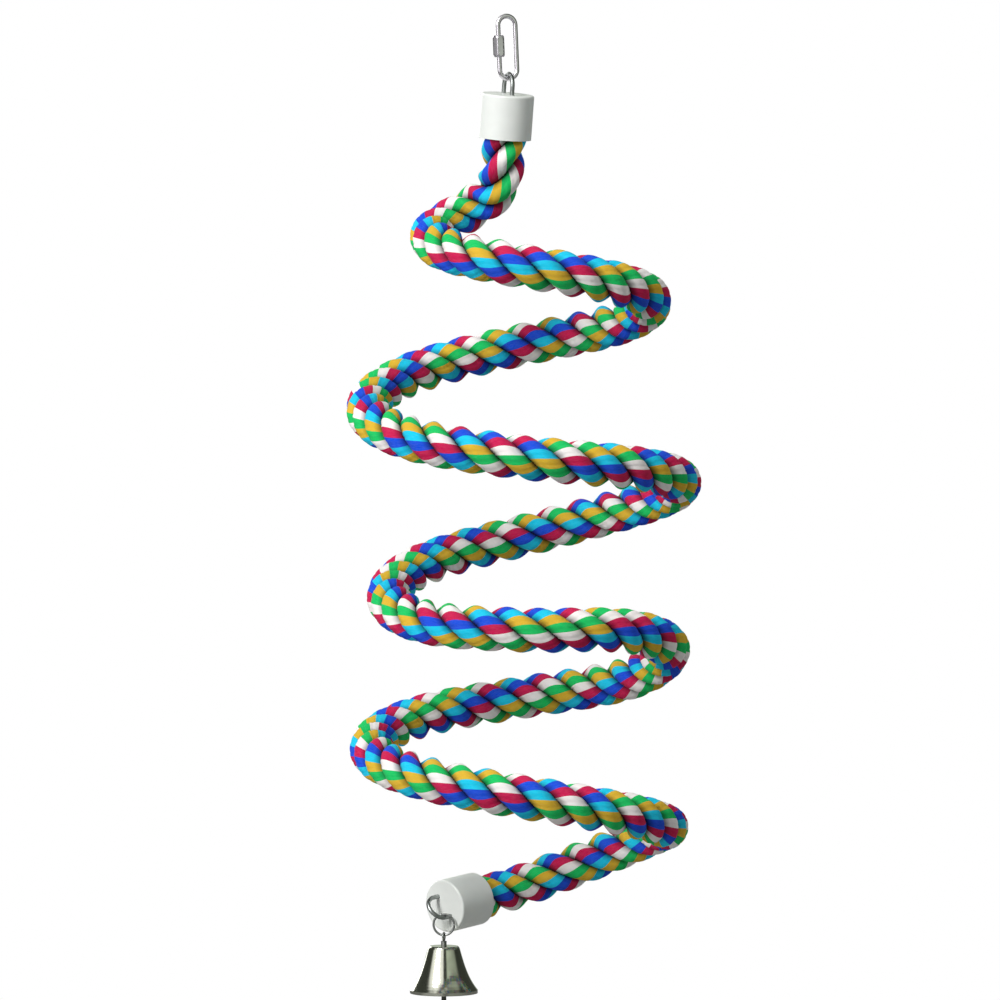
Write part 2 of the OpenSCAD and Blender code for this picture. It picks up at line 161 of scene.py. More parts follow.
class PerchStudio(bpy.types.PropertyGroup):
    """The camera, the floor and the lamps."""

    distance: length_property("Camera distance", "Camera to the perch", 3.4)
    elevation: angle_property("Camera height", "Angle of the camera above the level", 1.5)
    focal: number_property(
        "Focal length", "Focal length, in millimetres", 214.7, unit="CAMERA")
    aim_right: length_property("Aim right", "Middle of the view from the hang point", -0.0037)
    aim_height: length_property("Aim height", "Height of the middle of the view", -0.274)
    floor_height: length_property("Floor height", "Height of the floor", -0.80)
    floor_radius: length_property("Floor radius", "Radius of the floor", 3.2)
    key_power: power_property("Key lamp", "Power of the main lamp", 93)
    top_power: power_property("Top lamp", "Power of the lamp above the perch", 3)
    fill_power: power_property("Fill lamp", "Power of the lamp that fills the shade", 3)
    back_power: power_property("Back lamp", "Power of the lamp behind the perch", 20)
    side_power: power_property("Side lamp", "Power of the lamp on the perch's right", 7)
    ambient: number_property("Ambient", "Strength of the light from all round", 0.16)
    shade_tint: colour_property(
        "Shade tint", "Tint of the light from all round", (0.88, 1, 0.92))


# Node building


def feed(tree, socket, value):
    """Joins an output socket to an input, or sets the input to a plain value."""
    if isinstance(value, bpy.types.NodeSocket):
        tree.links.new(value, socket)
    elif value is not None:
        socket.default_value = value


def add(tree, kind, inputs=None, out=0, **settings):
    """Adds a node, sets it, feeds its named or numbered inputs and returns an output."""
    made = tree.nodes.new(kind)
    for name, value in settings.items():
        setattr(made, name, value)
    for place, value in (inputs or {}).items():
        feed(tree, made.inputs[place], value)
    return made.outputs[out]


def maths(tree, operation, *values):
    return add(tree, "ShaderNodeMath", dict(enumerate(values)), operation=operation)


def vector_maths(tree, operation, *values):
    return add(tree, "ShaderNodeVectorMath", dict(enumerate(values)), operation=operation)


def scaled(tree, vector, factor):
    return add(tree, "ShaderNodeVectorMath", {"Vector": vector, "Scale": factor},
               operation="SCALE")


def size_of(tree, vector):
    return add(tree, "ShaderNodeVectorMath", {0: vector}, out="Value", operation="LENGTH")


def added(tree, first, *others):
    total = first
    for other in others:
        total = vector_maths(tree, "ADD", total, other)
    return total


def split(tree, vector):
    """A vector's X, Y and Z as sockets by name."""
    return add(tree, "ShaderNodeSeparateXYZ", {0: vector}).node.outputs


def joined(tree, *values):
    """A vector from up to three values."""
    return add(tree, "ShaderNodeCombineXYZ", dict(enumerate(values)))


def new_tree(name, inputs):
    """A geometry tree with named inputs, and its group input's outputs by name."""
    tree = bpy.data.node_groups.new(name, "GeometryNodeTree")
    tree.is_modifier = True
    face = tree.interface
    face.new_socket("Geometry", in_out="INPUT", socket_type="NodeSocketGeometry")
    for label, kind in inputs.items():
        face.new_socket(label, in_out="INPUT", socket_type="NodeSocket" + kind)
    face.new_socket("Geometry", in_out="OUTPUT", socket_type="NodeSocketGeometry")
    entry = tree.nodes.new("NodeGroupInput")
    return tree, {socket.name: socket for socket in entry.outputs if socket.name}


def end_tree(tree, geometry, material):
    """Ends a tree in real geometry with its material."""
    real = add(tree, "GeometryNodeRealizeInstances", {0: geometry})
    finished = add(tree, "GeometryNodeSetMaterial", {"Geometry": real, "Material": material})
    tree.links.new(finished, tree.nodes.new("NodeGroupOutput").inputs[0])


def placed(name, mesh):
    """A new object of a mesh in the scene, at the origin."""
    made = bpy.data.objects.new(name, mesh)
    bpy.context.collection.objects.link(made)
    return made


def baked(name, source, tree, values):
    """Runs a tree on a source object and returns a plain mesh object of the result."""
    modifier = source.modifiers.new("shape", "NODES")
    modifier.node_group = tree
    sockets = {item.name: item.identifier for item in tree.interface.items_tree
               if item.item_type == "SOCKET" and item.in_out == "INPUT"}
    for label, value in values.items():
        modifier[sockets[label]] = value
    bpy.context.view_layer.update()
    graph = bpy.context.evaluated_depsgraph_get()
    mesh = bpy.data.meshes.new_from_object(source.evaluated_get(graph))
    source.modifiers.remove(modifier)
    if not mesh.polygons:
        raise RuntimeError(name + " came out empty")
    mesh.name = name
    mesh.shade_smooth()
    return placed(name, mesh)


def line_object(name, points, swell=None):
    """A chain of edges through points that a tree is run on, with the rope's thickness at
    each point where it is given."""
    mesh = bpy.data.meshes.new(name)
    mesh.from_pydata([tuple(p) for p in points],
                     [(i, i + 1) for i in range(len(points) - 1)], [])
    if swell:
        layer = mesh.attributes.new("swell", "FLOAT", "POINT")
        layer.data.foreach_set("value", swell)
    return placed(name, mesh)


# The rope's way

# How far the coil stands from its middle at each quarter turn, as shares of its radius,
# and how deep it is at each eighth, as shares of its height. The first value of each
# row only sets the slope at the start
REACH_SHARES = (0.58, 0.58, 0.69, 0.81, 0.90, 0.99, 1, 1, 0.93,
                0.86, 0.89, 0.93, 0.95, 0.97, 0.94, 0.92)
DEPTH_SHARES = (-0.04, 0, 0.03, 0.055, 0.08, 0.11, 0.15, 0.185, 0.23, 0.29,
                0.34, 0.37, 0.39, 0.42, 0.465, 0.515, 0.56, 0.61, 0.645, 0.655,
                0.66, 0.7, 0.76, 0.795, 0.825, 0.865, 0.9, 0.93, 0.965, 1)
QUARTER_TURNS = len(REACH_SHARES) - 2
STEPS_IN_QUARTER = 36
STEPS_IN_BEND = 24
STEPS_IN_SWEEP = 48

# Pull of a curve that stands for a quarter of a circle, as a share of its radius
QUARTER_PULL = math.tan(TURN / 16) * 4 / 3

# The caps' closed faces and the way that each cap faces, from the CAD model
TOP_FACE = Vector((0.000709, 0.000925, -0.042881))
TOP_AXIS = Vector((0.0718, -0.1217, 0.98997)).normalized()
BOTTOM_FACE = Vector((-0.035748, 0.027229, -0.508655))
BOTTOM_AXIS = Vector((-0.6908, -0.7154, -0.10453)).normalized()

# Depth of the rope's cut ends and of the crossbars below those faces, and the binding
ROPE_SEAT = 0.01315
BAR_DEPTH = 0.00725
BINDING_LENGTH = 0.008
BINDING_SQUEEZE = 0.0008

# The core wire's hook round each crossbar: its radius, its angles and its turns in degrees
# from lying flat to standing in the upper and in the lower cap
HOOK_RADIUS = 0.00295
HOOK_ANGLES = range(210, -31, -10)
TOP_HOOK_TURNS = (("X", 8), ("Y", 1.5), ("Z", 20))
BOTTOM_HOOK_TURNS = (("Z", -51), ("Y", 96), ("Z", 226))


def share_at(row, u):
    """Value of a row of shares at u, on a smooth curve through all of them."""
    last = len(row) - 1
    i = min(math.floor(u), last - 2)
    a, b, c, d, t = row[i], row[i + 1], row[i + 2], row[min(i + 3, last)], u - i
    return (b + t * (c - a) / 2 + t * t * (a - 5 * b / 2 + 2 * c - d / 2)
            + t * t * t * (3 * (b - c) + d - a) / 2)


def coil_point(route, u):
    """The point of the coil u quarter turns from its first side, on its left."""
    angle, reach = u * TURN / 4, route.coil_radius * share_at(REACH_SHARES, u)
    return Vector((route.coil_right - reach * math.cos(angle),
                   route.coil_back - reach * math.sin(angle),
                   -route.coil_top - route.coil_height * share_at(DEPTH_SHARES, 2 * u)))


def coil_way(route, u):
    """The way that the rope runs at that point."""
    step = 0.01
    return (coil_point(route, min(u + step, QUARTER_TURNS))
            - coil_point(route, max(u - step, 0))).normalized()


def sweep(a, b, c, d, steps):
    """Points of a smooth curve from a, towards b, and from c into d, without d."""
    shares = [i / steps for i in range(steps)]
    return [(1 - t) ** 3 * a + 3 * t * (1 - t) ** 2 * b + 3 * t * t * (1 - t) * c + t ** 3 * d
            for t in shares]


def top_point(depth):
    return TOP_FACE - depth * TOP_AXIS


def bottom_point(depth):
    return BOTTOM_FACE - depth * BOTTOM_AXIS


def middle_line(route, rope):
    """The rope's middle line between the caps' straight stretches."""
    free = ROPE_SEAT + rope.diameter
    first, last = coil_point(route, 0), coil_point(route, QUARTER_TURNS)
    bend = first + Vector((route.lead_radius, route.lead_radius, route.lead_drop))
    way = Vector((-math.cos(route.lead_dip), 0, -math.sin(route.lead_dip)))
    pull = route.lead_radius * QUARTER_PULL
    steps = QUARTER_TURNS * STEPS_IN_QUARTER
    return (
        sweep(top_point(free), top_point(free + route.lead_pull),
              bend - route.lead_pull * way, bend, STEPS_IN_BEND)
        + sweep(bend, bend + pull * way, first - pull * coil_way(route, 0), first,
                STEPS_IN_BEND)
        + [coil_point(route, i / STEPS_IN_QUARTER) for i in range(steps)]
        + sweep(last, last + route.tail_sweep * coil_way(route, QUARTER_TURNS),
                bottom_point(free + route.tail_pull), bottom_point(free), STEPS_IN_SWEEP)
        + [bottom_point(free)])


def rope_line(route, rope):
    """The rope's middle line from cut to cut, and its thickness there as a share."""
    bound = 1 - BINDING_SQUEEZE / (rope.diameter / 2)
    depths = [ROPE_SEAT, ROPE_SEAT + BINDING_LENGTH, ROPE_SEAT + rope.diameter / 2]
    shares = [bound, bound, 1]
    middle = middle_line(route, rope)
    points = ([top_point(d) for d in depths] + middle
              + [bottom_point(d) for d in reversed(depths)])
    return points, shares + [1] * len(middle) + shares[::-1]


def turned(point, turns):
    """A point turned about the origin's axes, one turn in degrees after the other."""
    for axis, degrees in turns:
        point = Matrix.Rotation(math.radians(degrees), 3, axis) @ point
    return point


def core_line(route, rope):
    """The core wire's middle line, from the hook in the upper cap to the one below."""
    hook = [Vector((HOOK_RADIUS * math.cos(a), 0, HOOK_RADIUS * math.sin(a) - BAR_DEPTH))
            for a in map(math.radians, HOOK_ANGLES)]
    return ([TOP_FACE + turned(p, TOP_HOOK_TURNS) for p in hook] + [top_point(ROPE_SEAT)]
            + middle_line(route, rope) + [bottom_point(ROPE_SEAT)]
            + [BOTTOM_FACE + turned(p, BOTTOM_HOOK_TURNS) for p in reversed(hook)])


# Materials

# Colour of worn yarns, and the painted shade in the valleys between strands
WORN_YARN = (0.80, 0.78, 0.76)
PAINTED_VALLEY_SHADE = (0.002, 0.003, 0.010)

# How far the fibres' noise is drawn, across the yarns and along them
FIBRES_ACROSS, FIBRES_ALONG = 7.0, 90.0

# Plies round a strand and their turn along it, and threads to half a turn of a strand
PLIES_ROUND, PLIES_ALONG = 60.0, 2600.0
THREADS_ROUND = 24.0

# Whole turns added to a yarn's turn, so that its share is never below 0
SPARE_TURNS = 8

# A colour mix node's colour inputs and its colour output
MIX_COLOURS, MIX_RESULT = (6, 7), 2


def new_material(name):
    """A node material, its tree and its main shader."""
    material = bpy.data.materials.new(name)
    material.use_nodes = True
    tree = material.node_tree
    return material, tree, tree.nodes["Principled BSDF"]


def noise(tree, vector, scale, detail, distortion=0.0):
    return add(tree, "ShaderNodeTexNoise",
               {"Vector": vector, "Scale": scale, "Detail": detail, "Distortion": distortion})


def spread(tree, value, given, wanted, **settings):
    """Maps a value from a given range to a wanted one."""
    return add(tree, "ShaderNodeMapRange",
               dict(enumerate((value, *given, *wanted))), **settings)


def object_place(tree):
    return add(tree, "ShaderNodeTexCoord", out="Object")


def mixed(tree, factor, first, second):
    """Mixes two colours."""
    made = tree.nodes.new("ShaderNodeMix")
    made.data_type = "RGBA"
    feed(tree, made.inputs["Factor"], factor)
    for place, value in zip(MIX_COLOURS, (first, second)):
        is_plain = not isinstance(value, bpy.types.NodeSocket)
        feed(tree, made.inputs[place], (*value, 1) if is_plain else value)
    return made.outputs[MIX_RESULT]


def colour_ramp(tree, factor, stops, interpolation="LINEAR"):
    """A colour by factor, from the places of its stops and their colours."""
    ramp = tree.nodes.new("ShaderNodeValToRGB")
    ramp.color_ramp.interpolation = interpolation
    made = ramp.color_ramp.elements
    given = len(made)
    for number, (place, colour) in enumerate(stops):
        stop = made[number] if number < given else made.new(place)
        stop.position, stop.color = place, (*colour, 1)
    tree.links.new(factor, ramp.inputs["Fac"])
    return ramp.outputs["Color"]


def set_shader(tree, shader, **inputs):
    """Feeds a shader's inputs, named with _ for each space."""
    for name, value in inputs.items():
        feed(tree, shader.inputs[name.replace("_", " ")], value)


def bump(tree, shader, height, distance, strength, normal=None):
    """Gives a shader's surface small bumps, on top of a normal where it is given."""
    set_shader(tree, shader, Normal=add(tree, "ShaderNodeBump", {
        "Height": height, "Distance": distance, "Strength": strength, "Normal": normal}))


def yarn_colour(tree, rope, turn):
    """The crisp bands' colours, by the turn round a strand."""
    colours = (rope.gold, rope.green, rope.white, rope.crimson, rope.blue, rope.cyan)
    count = len(colours)
    share = maths(tree, "FRACT", maths(
        tree, "MULTIPLY_ADD", turn, rope.bands / count / TURN, SPARE_TURNS))
    stops = [(place / count, colour) for place, colour in enumerate(colours)]
    return colour_ramp(tree, share, stops, "CONSTANT")


def cotton_material(rope):
    """Dyed cotton yarns in crisp bands, with fine plies and fluff, painted shade in the
    valleys between strands and painted shade in the grooves between threads.
    """
    material, tree, shader = new_material("dyed cotton")
    yarn = split(tree, add(tree, "ShaderNodeAttribute", out="Vector", attribute_name="yarn"))
    valley = add(tree, "ShaderNodeAttribute", out="Fac", attribute_name="valley")
    turn, along = maths(tree, "ARCTAN2", yarn["Y"], yarn["X"]), yarn["Z"]
    unrolled = joined(tree, maths(tree, "MULTIPLY", yarn["X"], FIBRES_ACROSS),
                      maths(tree, "MULTIPLY", yarn["Y"], FIBRES_ACROSS),
                      maths(tree, "MULTIPLY", along, FIBRES_ALONG))
    place = object_place(tree)
    fibres = noise(tree, unrolled, scale=5.0, detail=6.0, distortion=0.4)
    patches = noise(tree, place, scale=38.0, detail=3.0)
    fluff = noise(tree, place, scale=900.0, detail=3.0)
    ply_turn = maths(tree, "MULTIPLY_ADD", turn, PLIES_ROUND,
                     maths(tree, "MULTIPLY", along, PLIES_ALONG))
    plies = spread(tree, maths(tree, "SINE", ply_turn), (-1.0, 1.0), (0.0, 1.0))
    threads = maths(tree, "ABSOLUTE", maths(
        tree, "SINE", maths(tree, "MULTIPLY", turn, THREADS_ROUND)))
    colour = yarn_colour(tree, rope, turn)
    for mark, given, cover, over in (
            (fibres, (0.35, 0.75), (0.0, 0.07), WORN_YARN),
            (patches, (0.3, 0.7), (0.0, 0.05), BLACK),
            # Painted shade: the colour darkens towards near black deeper in the valleys
            # between strands
            (valley, (0.36, 1.1), (0.0, 0.92), PAINTED_VALLEY_SHADE),
            # Painted shade: the colour darkens in the grooves between threads
            (threads, (0.0, 0.35), (0.08, 0.0), BLACK)):
        colour = mixed(tree, spread(tree, mark, given, cover), colour, over)
    height = 0.0
    for mark, weight in ((fluff, 0.25), (fibres, 0.5), (plies, 0.18), (threads, 0.55)):
        height = maths(tree, "MULTIPLY_ADD", mark, weight, height)
    set_shader(tree, shader, Base_Color=colour, Specular_IOR_Level=0.06,
               Roughness=spread(tree, fibres, (0.3, 0.7), (0.78, 0.95)),
               Sheen_Weight=0.03, Sheen_Roughness=0.45)
    bump(tree, shader, height, distance=0.00035, strength=0.5)
    return material


def metal_material(name, colour, roughness, grain=900.0, wear=0.10, tarnish=0.75,
                   soft_edge=0):
    """Plated or drawn metal: fine grain, faint smudges and darker, duller patches, and
    edges that look rounded where it is given how far."""
    material, tree, shader = new_material(name)
    place = object_place(tree)
    fine = noise(tree, place, scale=grain, detail=4.0)
    smudge = noise(tree, place, scale=130.0, detail=5.0, distortion=0.6)
    patches = spread(tree, smudge, (0.42, 0.68), (0.0, 1.0))
    dullness = spread(tree, smudge, (0.35, 0.7), (roughness, roughness + wear))
    set_shader(tree, shader, Metallic=1.0,
               Base_Color=mixed(tree, patches, colour, times(colour, tarnish)),
               Roughness=maths(tree, "MULTIPLY_ADD", fine, 0.04, dullness))
    rounded = None
    if soft_edge:
        rounded = add(tree, "ShaderNodeBevel", {"Radius": soft_edge}, samples=8)
    bump(tree, shader, fine, distance=0.00002, strength=0.08, normal=rounded)
    return material


def plastic_material(name, colour, roughness, speckle):
    """Smooth moulded plastic with a faint flow pattern and handling marks."""
    material, tree, shader = new_material(name)
    place = object_place(tree)
    flow = noise(tree, place, scale=60.0, detail=4.0, distortion=1.2)
    fine = noise(tree, place, scale=1500.0, detail=3.0)
    marks = spread(tree, flow, (0.4, 0.7), (0.0, 1.0))
    set_shader(tree, shader,
               Base_Color=mixed(tree, marks, colour, times(colour, 1 - 3 * speckle)),
               Roughness=spread(tree, flow, (0.3, 0.7), (roughness, roughness + 0.12)))
    bump(tree, shader, maths(tree, "MULTIPLY_ADD", fine, 0.3, flow),
         distance=0.00004, strength=0.35)
    return material


def finish_nodes(material, *nodes):
    """Gives CAD nodes their finish."""
    for node in nodes:
        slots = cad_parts[node].material_slots
        if not slots:
            raise RuntimeError(node + " has no material slot")
        for slot in slots:
            slot.material = material


# Geometry trees

# How far apart the yarns lie where a strand is hidden, against an even spread
HIDDEN_YARN_SPREAD = 1.55

# Depth at which a valley counts as full, as a share of the rope's radius
VALLEY_DEPTH = 0.42

# Points closer than this are one point
MERGE_REACH = 0.000002


def strand_tree():
    """A strand of laid rope on a line: a lobe that winds round the line, its yarns
    winding the other way, so that they run along the rope on its outside."""
    tree, given = new_tree("Laid strand", {
        "Rope radius": "Float", "Core radius": "Float", "Strand middle": "Float",
        "Strand half width": "Float", "Strand gap": "Float", "Lay": "Float",
        "Yarn twist": "Float", "Yarn draw": "Float", "Band groove": "Float", "Bands": "Float",
        "Ring step": "Float", "Sides": "Int", "Lay phase": "Float", "Yarn phase": "Float",
        "Yarn order": "Float", "Material": "Material"})
    # A flat grid, a row to each ring of the strand and one more at each end to close it
    line = add(tree, "GeometryNodeMeshToCurve", {0: given["Geometry"]})
    length = add(tree, "GeometryNodeCurveLength", {0: line})
    rings = maths(tree, "CEIL", maths(tree, "DIVIDE", length, given["Ring step"]))
    rows = maths(tree, "ADD", rings, 3.0)
    grid = add(tree, "GeometryNodeMeshGrid", {
        "Size X": 1.0, "Size Y": 1.0, "Vertices X": rows,
        "Vertices Y": maths(tree, "ADD", given["Sides"], 1.0)})
    place = split(tree, add(tree, "GeometryNodeInputPosition"))
    row = maths(tree, "MULTIPLY", maths(tree, "ADD", place["X"], 0.5),
                maths(tree, "SUBTRACT", rows, 1.0))
    share = add(tree, "ShaderNodeClamp",
                {"Value": maths(tree, "DIVIDE", maths(tree, "SUBTRACT", row, 1.0), rings)})
    along = maths(tree, "MULTIPLY", share, length)
    at_end = maths(tree, "MAXIMUM", maths(tree, "LESS_THAN", row, 0.5),
                   maths(tree, "GREATER_THAN", row, maths(tree, "ADD", rings, 1.5)))
    open_share = maths(tree, "SUBTRACT", 1.0, at_end)
    # Where the strand is at each row, and the way from the rope's middle to its own
    swell = add(tree, "GeometryNodeInputNamedAttribute", {"Name": "swell"})
    sample = add(tree, "GeometryNodeSampleCurve",
                 {"Curves": line, "Value": swell, "Factor": share}, mode="FACTOR").node.outputs
    swell = sample["Value"]
    middle, way, side = sample["Position"], sample["Tangent"], sample["Normal"]
    across = vector_maths(tree, "CROSS_PRODUCT", way, side)
    laid = maths(tree, "DIVIDE", along, given["Lay"])
    lay_turn = maths(tree, "MULTIPLY_ADD", laid, TURN, given["Lay phase"])
    outward = added(tree, scaled(tree, side, maths(tree, "COSINE", lay_turn)),
                    scaled(tree, across, maths(tree, "SINE", lay_turn)))
    aside = vector_maths(tree, "CROSS_PRODUCT", way, outward)
    # The yarns lie close together on a strand's outside, and far apart where it is hidden
    yarn_turn = maths(tree, "MULTIPLY", maths(tree, "ADD", place["Y"], 0.5), TURN)
    wound_back = maths(tree, "MULTIPLY", given["Yarn twist"],
                       maths(tree, "MULTIPLY", laid, TURN))
    loose_turn = maths(tree, "WRAP", maths(tree, "SUBTRACT", yarn_turn, wound_back),
                       math.pi, -math.pi)
    off_crown = maths(tree, "ABSOLUTE", loose_turn)
    outside = maths(tree, "MULTIPLY", off_crown,
                    maths(tree, "SUBTRACT", 1.0, given["Yarn draw"]))
    inside = maths(tree, "SUBTRACT", math.pi, maths(
        tree, "MULTIPLY", maths(tree, "SUBTRACT", math.pi, off_crown), HIDDEN_YARN_SPREAD))
    lobe_turn = maths(tree, "MULTIPLY", maths(tree, "SIGN", loose_turn),
                      maths(tree, "MAXIMUM", outside, inside))
    # The lobe's outline, with a groove between two bands, held off its two neighbours,
    # a third of a turn away on each side, and off the core wire
    wave = maths(tree, "ABSOLUTE", maths(tree, "SINE", maths(
        tree, "MULTIPLY", maths(tree, "DIVIDE", given["Bands"], 2.0), yarn_turn)))
    groove = maths(tree, "MULTIPLY", given["Band groove"],
                   maths(tree, "POWER", maths(tree, "SUBTRACT", 1.0, wave), 2.0))
    lobe_height = maths(tree, "SUBTRACT",
                        maths(tree, "SUBTRACT", given["Rope radius"], given["Strand middle"]),
                        groove)
    reach = maths(tree, "MAXIMUM", given["Core radius"],
                  maths(tree, "MULTIPLY_ADD", lobe_height, maths(tree, "COSINE", lobe_turn),
                        given["Strand middle"]))
    flank = maths(tree, "SUBTRACT", maths(tree, "MULTIPLY", reach, math.sqrt(3)),
                  given["Strand gap"])
    width = maths(tree, "MULTIPLY", maths(tree, "SINE", lobe_turn),
                  maths(tree, "SUBTRACT", given["Strand half width"], groove))
    width = maths(tree, "MAXIMUM", maths(tree, "MINIMUM", width, flank),
                  maths(tree, "MULTIPLY", flank, -1.0))
    depth = maths(tree, "SUBTRACT", given["Rope radius"],
                  size_of(tree, joined(tree, reach, width)))
    # How deep a point lies in the valley between strands; the cotton's painted valley shade
    # follows it
    valley = maths(tree, "DIVIDE", depth,
                   maths(tree, "MULTIPLY", given["Rope radius"], VALLEY_DEPTH))
    end_reach = maths(tree, "MULTIPLY", swell, add(tree, "ShaderNodeMix", {
        "Factor": open_share, 2: given["Strand middle"], 3: reach}))
    end_width = maths(tree, "MULTIPLY", maths(tree, "MULTIPLY", swell, open_share), width)
    place_on_rope = added(tree, middle, scaled(tree, outward, end_reach),
                          scaled(tree, aside, end_width))
    phase = maths(tree, "MULTIPLY", given["Yarn order"],
                  maths(tree, "ADD", yarn_turn, given["Yarn phase"]))
    mark = joined(tree, maths(tree, "COSINE", phase), maths(tree, "SINE", phase), along)
    # The marks and the places are worked out on the flat grid, before its points move
    shape = grid
    for name, value, kind in (("yarn", mark, "FLOAT_VECTOR"), ("valley", valley, "FLOAT")):
        shape = add(tree, "GeometryNodeStoreNamedAttribute",
                    {"Geometry": shape, "Name": name, "Value": value},
                    data_type=kind, domain="POINT")
    shape = add(tree, "GeometryNodeSetPosition",
                {"Geometry": shape, "Position": place_on_rope})
    closed = add(tree, "GeometryNodeMergeByDistance",
                 {"Geometry": shape, "Distance": MERGE_REACH})
    end_tree(tree, add(tree, "GeometryNodeFlipFaces", {0: closed}), given["Material"])
    return tree


def wire_tree():
    """A round wire that follows a line, closed at both ends."""
    tree, given = new_tree("Bent wire", {
        "Radius": "Float", "Sides": "Int", "Material": "Material"})
    line = add(tree, "GeometryNodeMeshToCurve", {0: given["Geometry"]})
    round_wire = add(tree, "GeometryNodeCurvePrimitiveCircle",
                     {"Resolution": given["Sides"], "Radius": given["Radius"]}, mode="RADIUS")
    tube = add(tree, "GeometryNodeCurveToMesh",
               {"Curve": line, "Profile Curve": round_wire, "Fill Caps": True})
    end_tree(tree, tube, given["Material"])
    return tree


# Operators

# Each strand's yarns: their start in turns, their twist as a share of the rope's yarn
# twist, and 1 or -1 for the order of their colours
STRAND_YARNS = ((0.107, 1.0, 1), (0.2815, 1.018, 1), (0.942, 1.02, -1))
STRAND_SIDES, WIRE_SIDES = 48, 16

# Where the first strand starts round the rope, in turns, and the strands' gap to the wire
LAY_START = 0.2226
CORE_CLEARANCE = 0.0005

# Each lamp's place, its width and height, and whether metal mirrors it
LAMPS = {
    "key": ((-1.6, -1.9, 1.25), (0.9, 1.7), True),
    "top": ((-0.2, -0.5, 1.7), (1.4, 1.4), True),
    "fill": ((1.3, -0.8, 0.6), (0.8, 0.8), False),
    "back": ((-0.9, 2.2, 0.3), (1.4, 1.6), True),
    "side": ((2.0, 1.0, 0.5), (1.2, 1.4), False),
}

# Levels of the surroundings that metal mirrors, by heading: 0 and 1 are behind the perch,
# 0.25 its left, 0.5 in front of it, 0.75 its right. What is not white has a faint tint
PANEL_LEVELS = ((0.0, 0.50), (0.04, 0.45), (0.07, 0.06), (0.272, 0.04), (0.302, 1.0),
                (0.488, 1.0), (0.500, 0.03), (0.54, 0.03), (0.555, 0.58), (0.70, 0.36),
                (0.74, 0.04), (0.945, 0.06), (0.97, 0.42), (1.0, 0.50))
PANEL_TINT = (0.90, 1.0, 0.84)

# Steepness over which those surroundings fade into a dark ceiling, and its level
CEILING_START, CEILING_LEVEL = (0.78, 0.95), 0.06

# The floor's mesh, and the shares of its radius between which it turns evenly white
FLOOR_RINGS, FLOOR_SIDES = 24, 96
FLOOR_FADE = (0.25, 0.6)

# The floor's darker and paler specks, what it is for all but the camera, how much it is
# lifted for the camera, and how bright its white edge is in mirrors
FLOOR_SPECKS = ((0.90, 0.90, 0.90), (0.93, 0.93, 0.93))
FLOOR_UNSEEN = (0.35, 0.35, 0.35)
FLOOR_LIFT = 0.2
FLOOR_MIRRORED = 0.12


def disc(name, radius, height):
    """A flat round mesh in rings."""
    points = [(0, 0, height)]
    faces = [(0, 1 + i, 1 + (i + 1) % FLOOR_SIDES) for i in range(FLOOR_SIDES)]
    for ring in range(1, FLOOR_RINGS + 1):
        reach = radius * ring / FLOOR_RINGS
        angles = [TURN * i / FLOOR_SIDES for i in range(FLOOR_SIDES)]
        points += [(reach * math.cos(a), reach * math.sin(a), height) for a in angles]
    for start in range(1, 1 + (FLOOR_RINGS - 1) * FLOOR_SIDES, FLOOR_SIDES):
        faces += [(start + i, start + FLOOR_SIDES + i,
                   start + FLOOR_SIDES + (i + 1) % FLOOR_SIDES,
                   start + (i + 1) % FLOOR_SIDES) for i in range(FLOOR_SIDES)]
    mesh = bpy.data.meshes.new(name)
    mesh.from_pydata(points, [], faces)
    return mesh


def panels(tree):
    """How bright polished metal sees the surroundings, by the way it looks: a white
    panel to the left, dark gaps and a dark ceiling, so that its edges show."""
    way = split(tree, add(tree, "ShaderNodeTexCoord", out="Generated"))
    heading = maths(tree, "ARCTAN2", way["X"], maths(tree, "MULTIPLY", way["Y"], -1.0))
    share = maths(tree, "MULTIPLY_ADD", heading, 1 / TURN, 0.5)
    stops = [(place, WHITE if level == 1 else times(PANEL_TINT, level))
             for place, level in PANEL_LEVELS]
    below_ceiling = spread(tree, way["Z"], CEILING_START, (1.0, CEILING_LEVEL))
    return scaled(tree, colour_ramp(tree, share, stops), below_ceiling)


